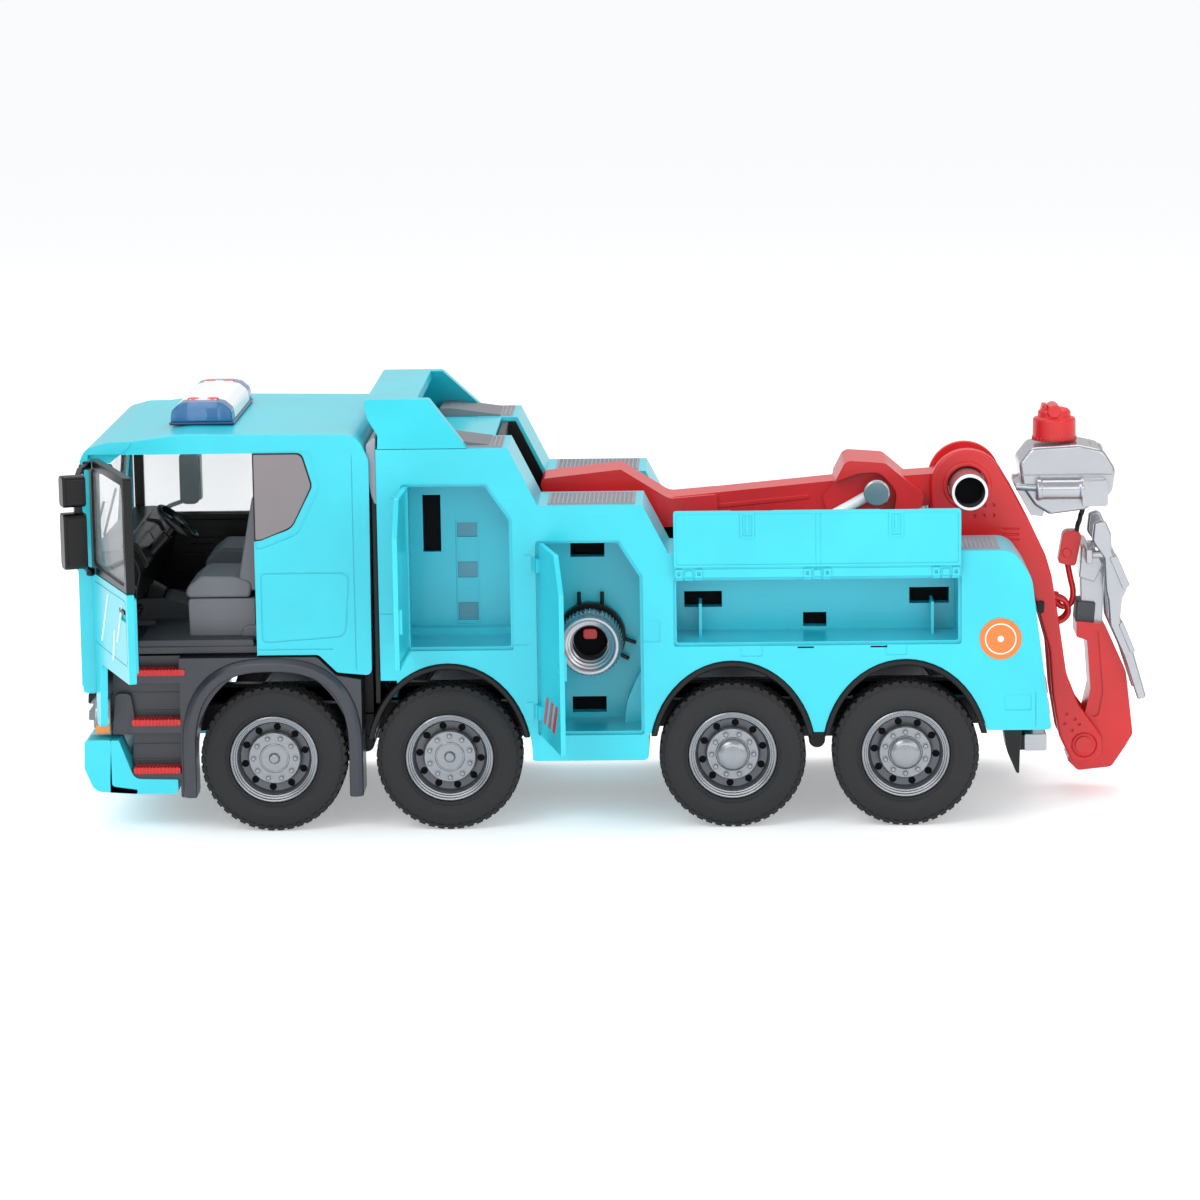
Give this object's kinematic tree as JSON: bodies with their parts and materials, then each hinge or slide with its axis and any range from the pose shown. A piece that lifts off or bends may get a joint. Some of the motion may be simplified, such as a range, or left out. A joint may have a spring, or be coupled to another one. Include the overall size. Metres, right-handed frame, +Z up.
{
  "type": "toy tow truck",
  "caption": "Toy recovery truck with opening cab doors, lockers and lids, lifting boom, hanging rear arm, folding underlift, hand winch and rolling wheels.",
  "frame": {"origin": "on the ground, under the middle of the box around the truck as stored, with the driver side door, two lockers and the tool lid open", "axes": "+X towards the rear of the truck, its long direction, +Y towards its right side, +Z up"},
  "size_m": [0.596, 0.287, 0.237],
  "materials": {
    "turquoise_plastic": "smooth satin moulded plastic",
    "red_plastic": "smooth satin moulded plastic",
    "black_plastic": "satin moulded plastic",
    "slate_plastic": "fine textured moulded plastic",
    "grey_plastic": "fine textured moulded plastic",
    "tyre_rubber": "soft moulded tyre with tread blocks",
    "rim_plastic": "satin moulded plastic",
    "silver_plastic": "silver pigmented plastic",
    "smoke_plastic": "smoke tinted plastic pane",
    "clear_plastic": "clear plastic",
    "blue_plastic": "clear blue plastic with a white middle",
    "rope_cord": "braided cord"
  },
  "bodies": {
    "truck": {"chassis_frame": "black_plastic", "cab_shell": "turquoise_plastic", "cab_floor": "slate_plastic", "seats": "grey_plastic", "dashboard": "black_plastic", "windscreen": "clear_plastic", "quarter_window_left": "smoke_plastic", "quarter_window_right": "smoke_plastic", "light_bar": "blue_plastic", "grille": "black_plastic", "bumper": "turquoise_plastic", "headlight_left": "clear_plastic", "headlight_right": "clear_plastic", "step_panel_left": "slate_plastic", "step_panel_right": "slate_plastic", "step_treads_left": "red_plastic", "step_treads_right": "red_plastic", "body_side_left": "turquoise_plastic", "body_side_right": "turquoise_plastic", "headboard": "turquoise_plastic", "boom_well": "black_plastic", "underrun_bar": "silver_plastic"},
    "wheels_1": {"wheelset_1": "rim_plastic", "tyre_1_left": "tyre_rubber", "tyre_1_right": "tyre_rubber"},
    "wheels_2": {"wheelset_2": "rim_plastic", "tyre_2_left": "tyre_rubber", "tyre_2_right": "tyre_rubber"},
    "wheels_3": {"wheelset_3": "rim_plastic", "tyre_3_left": "tyre_rubber", "tyre_3_right": "tyre_rubber"},
    "wheels_4": {"wheelset_4": "rim_plastic", "tyre_4_left": "tyre_rubber", "tyre_4_right": "tyre_rubber"},
    "steering": {"steering_wheel": "black_plastic"},
    "cab_door_left": {"door_left": "turquoise_plastic", "door_glass_left": "clear_plastic"},
    "cab_door_right": {"door_right": "turquoise_plastic", "door_glass_right": "clear_plastic"},
    "mirror_arm_left": {"mirror_left": "black_plastic"},
    "mirror_arm_right": {"mirror_right": "black_plastic"},
    "front_door_left": {"locker_door_front_left": "turquoise_plastic"},
    "front_door_right": {"locker_door_front_right": "turquoise_plastic"},
    "winch_door_left": {"locker_door_winch_left": "turquoise_plastic"},
    "winch_door_right": {"locker_door_winch_right": "turquoise_plastic"},
    "tool_cover_left": {"tool_lid_left": "turquoise_plastic"},
    "tool_cover_right": {"tool_lid_right": "turquoise_plastic"},
    "knob": {"winch_knob": "silver_plastic"},
    "main_boom": {"boom": "red_plastic", "knee_tube": "silver_plastic"},
    "barrel_pair": {"lift_barrels": "silver_plastic"},
    "rod_pair": {"lift_rods": "silver_plastic"},
    "rear_arm": {"tail_arm": "red_plastic", "winch_head": "silver_plastic", "winch_rope": "rope_cord", "hook": "red_plastic"},
    "cap": {"swivel_cap": "red_plastic"},
    "tongue": {"underlift": "red_plastic"},
    "fork_arm_left": {"fork_left": "silver_plastic"},
    "fork_arm_right": {"fork_right": "silver_plastic"}
  },
  "joints": [
    {"name": "axle_1_spin", "type": "hinge", "parent": "truck", "child": "wheels_1", "pos_m": [-0.189, 0.0309, 0.04035], "axis": [0, 1, 0], "continuous": true},
    {"name": "axle_2_spin", "type": "hinge", "parent": "truck", "child": "wheels_2", "pos_m": [-0.092, 0.0309, 0.04035], "axis": [0, 1, 0], "continuous": true},
    {"name": "axle_3_spin", "type": "hinge", "parent": "truck", "child": "wheels_3", "pos_m": [0.064, 0.0309, 0.04035], "axis": [0, 1, 0], "continuous": true},
    {"name": "axle_4_spin", "type": "hinge", "parent": "truck", "child": "wheels_4", "pos_m": [0.159, 0.0309, 0.04035], "axis": [0, 1, 0], "continuous": true},
    {"name": "steering_turn", "type": "hinge", "parent": "truck", "child": "steering", "pos_m": [-0.244, -0.0141, 0.166], "axis": [0.6428, 0, 0.766], "continuous": true},
    {"name": "cab_door_left_swing", "type": "hinge", "parent": "truck", "child": "cab_door_left", "pos_m": [-0.2864, -0.0597, 0.12], "axis": [0, 0, 1], "range_deg": [0, 70]},
    {"name": "cab_door_right_swing", "type": "hinge", "parent": "truck", "child": "cab_door_right", "pos_m": [-0.2864, 0.1215, 0.12], "axis": [0, 0, 1], "range_deg": [0, 70]},
    {"name": "mirror_left_fold", "type": "hinge", "parent": "cab_door_left", "child": "mirror_arm_left", "pos_m": [-0.28529, -0.07036, 0.178], "axis": [0, 0, 1], "range_deg": [-60, 12]},
    {"name": "mirror_right_fold", "type": "hinge", "parent": "cab_door_right", "child": "mirror_arm_right", "pos_m": [-0.276, 0.1241, 0.178], "axis": [0, 0, 1], "range_deg": [-12, 60]},
    {"name": "front_door_left_swing", "type": "hinge", "parent": "truck", "child": "front_door_left", "pos_m": [-0.1158, -0.0615, 0.146], "axis": [0, 0, 1], "range_deg": [0, 92]},
    {"name": "front_door_right_swing", "type": "hinge", "parent": "truck", "child": "front_door_right", "pos_m": [-0.1158, 0.1233, 0.146], "axis": [0, 0, 1], "range_deg": [0, 92]},
    {"name": "winch_door_left_swing", "type": "hinge", "parent": "truck", "child": "winch_door_left", "pos_m": [-0.0428, -0.0615, 0.106], "axis": [0, 0, 1], "range_deg": [-15, 77]},
    {"name": "winch_door_right_swing", "type": "hinge", "parent": "truck", "child": "winch_door_right", "pos_m": [-0.0428, 0.1233, 0.106], "axis": [0, 0, 1], "range_deg": [0, 92]},
    {"name": "tool_lid_left_swing", "type": "hinge", "parent": "truck", "child": "tool_cover_left", "pos_m": [0.111, -0.0615, 0.1394], "axis": [1, 0, 0], "range_deg": [0, 180]},
    {"name": "tool_lid_right_swing", "type": "hinge", "parent": "truck", "child": "tool_cover_right", "pos_m": [0.111, 0.1233, 0.1394], "axis": [1, 0, 0], "range_deg": [0, 180]},
    {"name": "winch_knob_turn", "type": "hinge", "parent": "truck", "child": "knob", "pos_m": [-0.014, -0.0391, 0.101], "axis": [0, 1, 0], "continuous": true},
    {"name": "boom_lift", "type": "hinge", "parent": "truck", "child": "main_boom", "pos_m": [-0.025, 0.0309, 0.16], "axis": [0, -1, 0], "range_deg": [0, 25]},
    {"name": "lift_barrel_tilt", "type": "hinge", "parent": "truck", "child": "barrel_pair", "pos_m": [0.059, 0.0309, 0.128], "axis": [0, -1, 0], "range_deg": [0, 33.21]},
    {"name": "lift_rod_slide", "type": "slide", "parent": "barrel_pair", "child": "rod_pair", "axis": [0.8756, 0, 0.4831], "range_m": [0, 0.03645]},
    {"name": "rear_arm_swing", "type": "hinge", "parent": "main_boom", "child": "rear_arm", "pos_m": [0.197, 0.0309, 0.178], "axis": [0, -1, 0], "range_deg": [0, 35]},
    {"name": "swivel_cap_turn", "type": "hinge", "parent": "rear_arm", "child": "cap", "pos_m": [0.247, 0.0309, 0.21], "axis": [0, 0, 1], "continuous": true},
    {"name": "tongue_fold", "type": "hinge", "parent": "rear_arm", "child": "tongue", "pos_m": [0.263, 0.0309, 0.029], "axis": [0, 1, 0], "range_deg": [0, 75]},
    {"name": "fork_left_spread", "type": "hinge", "parent": "tongue", "child": "fork_arm_left", "pos_m": [0.273, 0.0129, 0.138], "axis": [-1, 0, 0], "range_deg": [0, 45]},
    {"name": "fork_right_spread", "type": "hinge", "parent": "tongue", "child": "fork_arm_right", "pos_m": [0.273, 0.0489, 0.138], "axis": [1, 0, 0], "range_deg": [0, 45]}
  ],
  "couplings": [
    {"joint": "lift_barrel_tilt", "follows": "boom_lift", "ratio": 1.3086},
    {"joint": "lift_rod_slide", "follows": "boom_lift", "m_per_rad": 0.081715}
  ]
}
